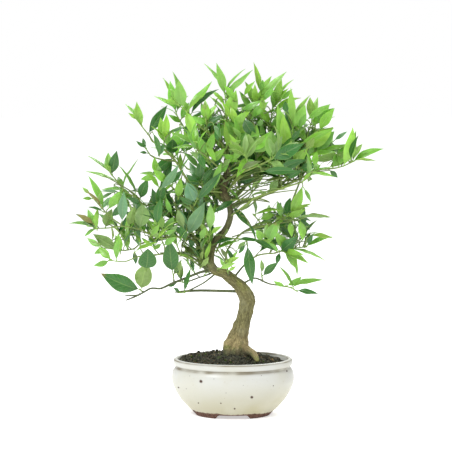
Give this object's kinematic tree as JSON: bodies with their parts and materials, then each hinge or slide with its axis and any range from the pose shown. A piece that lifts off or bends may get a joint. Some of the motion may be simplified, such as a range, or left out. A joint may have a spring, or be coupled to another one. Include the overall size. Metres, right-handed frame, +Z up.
{
  "type": "potted citrus bonsai tree",
  "caption": "Small bonsai citrus tree with a curved trunk, slender branches and sparse pointed leaves, growing in a footed oval glazed ceramic pot.",
  "frame": {"origin": "on the ground under the pot's feet, at the middle of the whole plant's width and depth; the pot's own centre is 5.5 mm to its right (+X) and 16.2 mm in front of it (-Y)", "axes": "+Z up along the height; +X to the viewer's right, along the oval pot's length; -Y towards the viewer, the front of the plant"},
  "size_m": [0.3604, 0.2212, 0.4057],
  "materials": {
    "glaze": "glossy cream-white glaze, yellower low down, ochre at the rim's edges, small dark pits; bare red-brown clay on the feet",
    "soil": "rough near-black crumbly soil with lighter grit and a little moss",
    "bark": "rough grey-olive bark with knots, beige near the foot, olive on the thin branches",
    "leaf_blue": "satin bluish-green leaf with a paler matt underside, olive twig",
    "leaf_bright": "soft satin young leaf, light yellow-green, paler matt underside, olive twig",
    "leaf_dark": "glossy dark-green mature leaf with a paler matt underside, olive twig",
    "leaf_mid": "satin mid-green leaf with a paler matt underside, olive twig",
    "leaf_pale": "matt pale grey-green, seen mostly from the underside, olive twig"
  },
  "bodies": {
    "root": {"pot": "glaze", "soil": "soil", "trunk_and_branches": "bark", "spray_arch_shoots": "leaf_mid", "spray_back_left": "leaf_mid", "spray_back_left_low": "leaf_dark", "spray_back_low": "leaf_mid", "spray_back_right": "leaf_mid", "spray_centre_front": "leaf_bright", "spray_centre_hanging": "leaf_dark", "spray_centre_left": "leaf_blue", "spray_centre_pale": "leaf_blue", "spray_centre_right": "leaf_mid", "spray_crown_inner": "leaf_mid", "spray_crown_right": "leaf_dark", "spray_far_right": "leaf_mid", "spray_front_left": "leaf_mid", "spray_front_middle": "leaf_pale", "spray_front_right": "leaf_pale", "spray_head_front": "leaf_mid", "spray_head_left": "leaf_dark", "spray_heart_back": "leaf_dark", "spray_heart_left": "leaf_mid", "spray_heart_right": "leaf_mid", "spray_heart_top": "leaf_bright", "spray_left_arch": "leaf_mid", "spray_left_filling": "leaf_dark", "spray_left_heart": "leaf_mid", "spray_left_inner": "leaf_dark", "spray_left_middle": "leaf_mid", "spray_left_reach": "leaf_mid", "spray_left_tip": "leaf_mid", "spray_long_twig": "leaf_mid", "spray_low_left": "leaf_dark", "spray_low_left_tip": "leaf_dark", "spray_low_twig_back": "leaf_dark", "spray_low_twig_front": "leaf_dark", "spray_right_arching": "leaf_mid", "spray_right_back": "leaf_mid", "spray_right_front": "leaf_mid", "spray_right_heart": "leaf_dark", "spray_right_low": "leaf_dark", "spray_right_low_tip": "leaf_mid", "spray_right_middle": "leaf_mid", "spray_right_top_far": "leaf_mid", "spray_right_top_near": "leaf_bright", "spray_right_top_tall": "leaf_bright", "spray_right_upper": "leaf_mid", "spray_top": "leaf_bright", "spray_top_left": "leaf_bright", "spray_top_left_back": "leaf_mid", "spray_top_left_inner": "leaf_mid", "spray_top_right": "leaf_bright", "spray_trunk_shoots": "leaf_bright", "spray_upper_left_bright": "leaf_bright", "spray_upper_left_curl": "leaf_dark", "spray_upper_left_inner": "leaf_mid", "spray_upper_left_low": "leaf_dark", "spray_upper_left_tip": "leaf_bright"}
  },
  "joints": []
}
